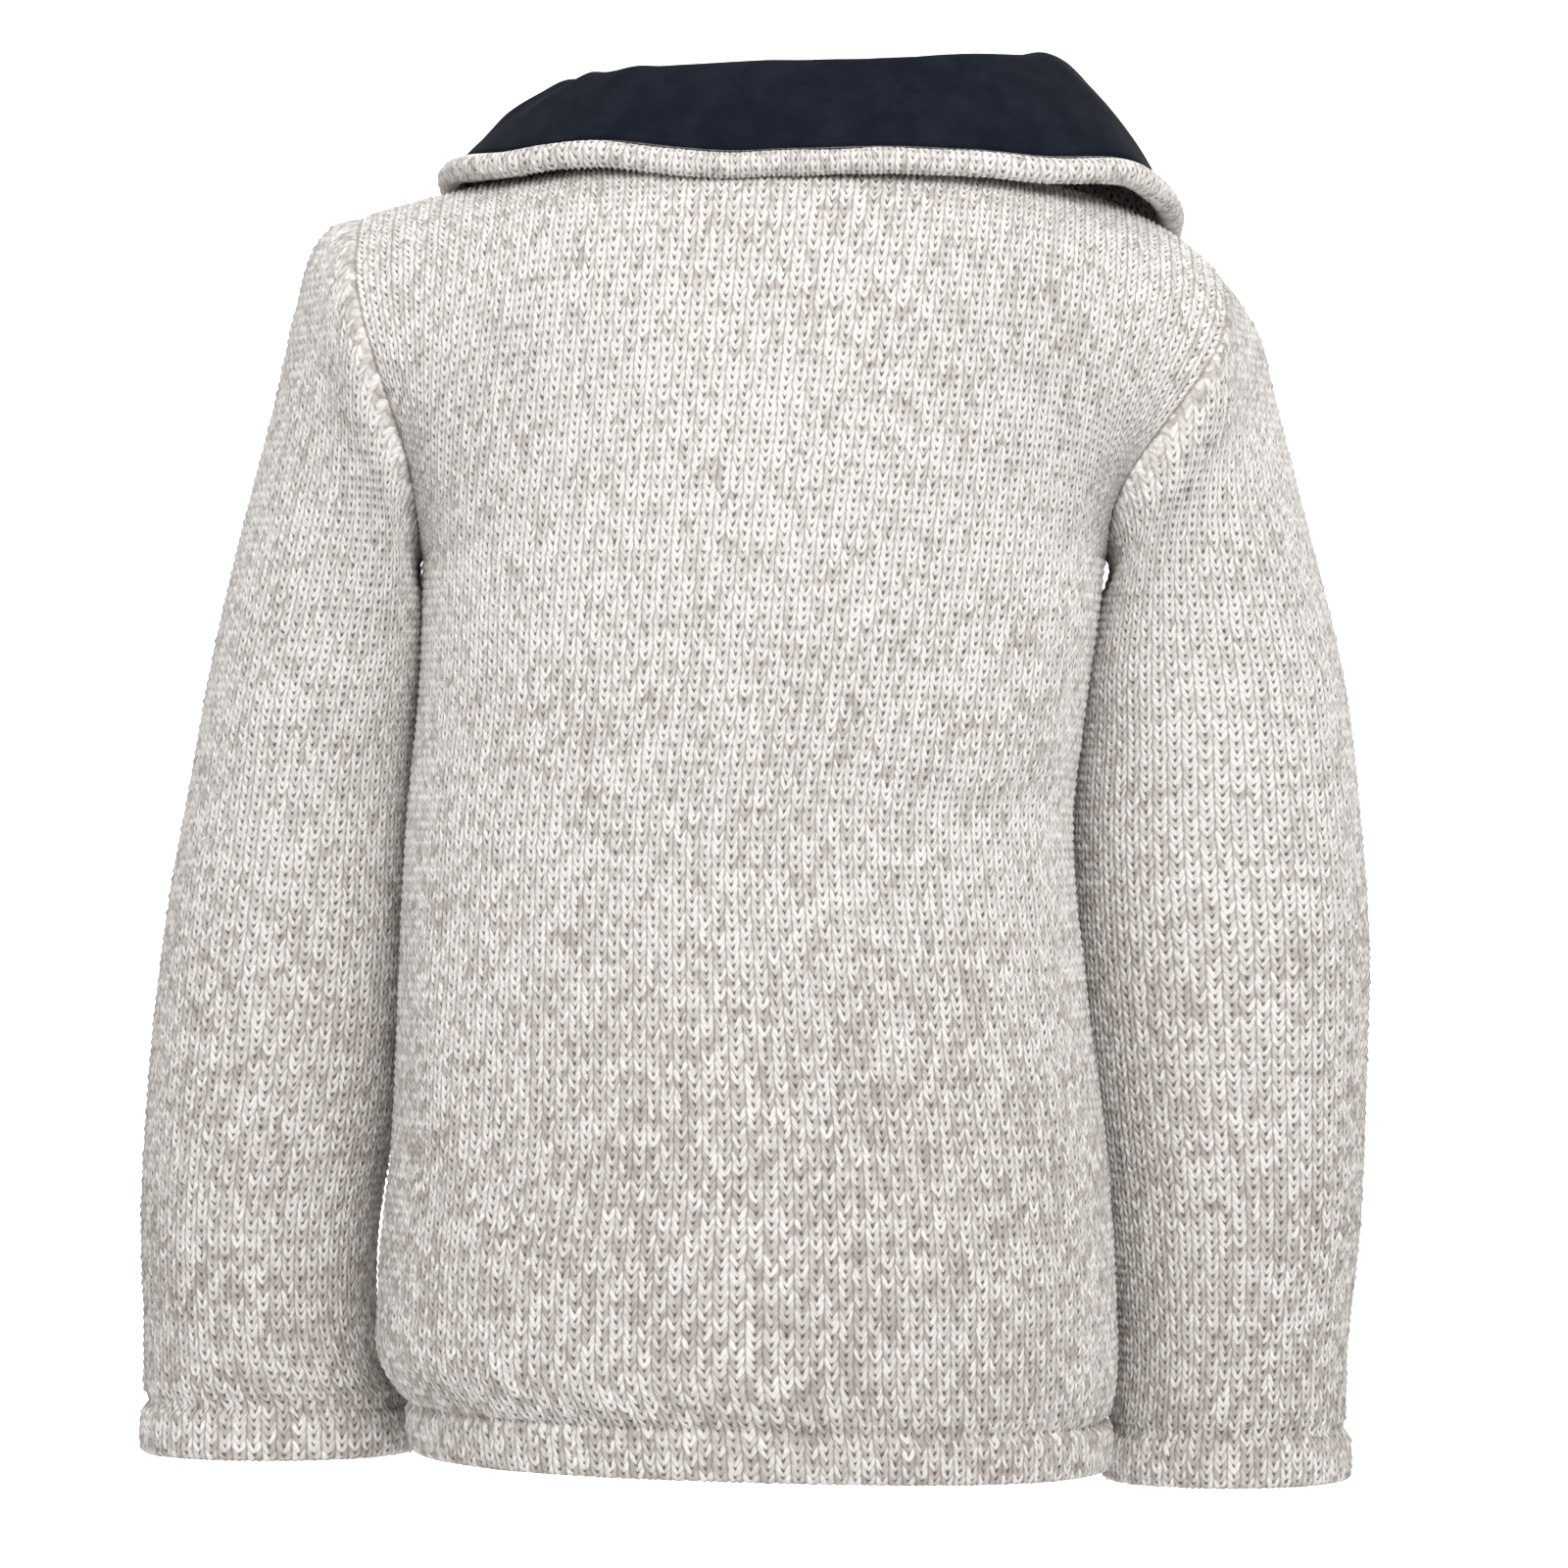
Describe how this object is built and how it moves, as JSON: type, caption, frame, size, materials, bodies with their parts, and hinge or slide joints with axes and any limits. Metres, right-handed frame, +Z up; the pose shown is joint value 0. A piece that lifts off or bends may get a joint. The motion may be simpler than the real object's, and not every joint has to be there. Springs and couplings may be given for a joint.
{
  "type": "cardigan",
  "caption": "Fleece-faced knitted cardigan in its worn, hollow form, with a turned-down collar, long sleeves and turned-up hems.",
  "frame": {"origin": "between the shoulder seams at the base of the neck, where the wearer carries the garment", "axes": "+Z up, +Y towards the back, +X towards the wearer's left"},
  "size_m": [0.6748, 0.277, 0.7745],
  "materials": {
    "knit": "chunky heathered wool stockinette, matt with a soft halo",
    "fleece": "navy polar fleece, matt, short pile",
    "button": "dark brown horn look, satin"
  },
  "bodies": {
    "root": {"back": "knit", "front_left": "knit", "front_right": "knit", "sleeve_left": "knit", "sleeve_right": "knit", "collar_outer": "knit", "collar_edge": "knit", "button_band": "knit", "collar_facing": "fleece", "button_1": "button", "button_2": "button", "button_3": "button", "button_4": "button", "button_5": "button", "button_6": "button"}
  },
  "joints": []
}
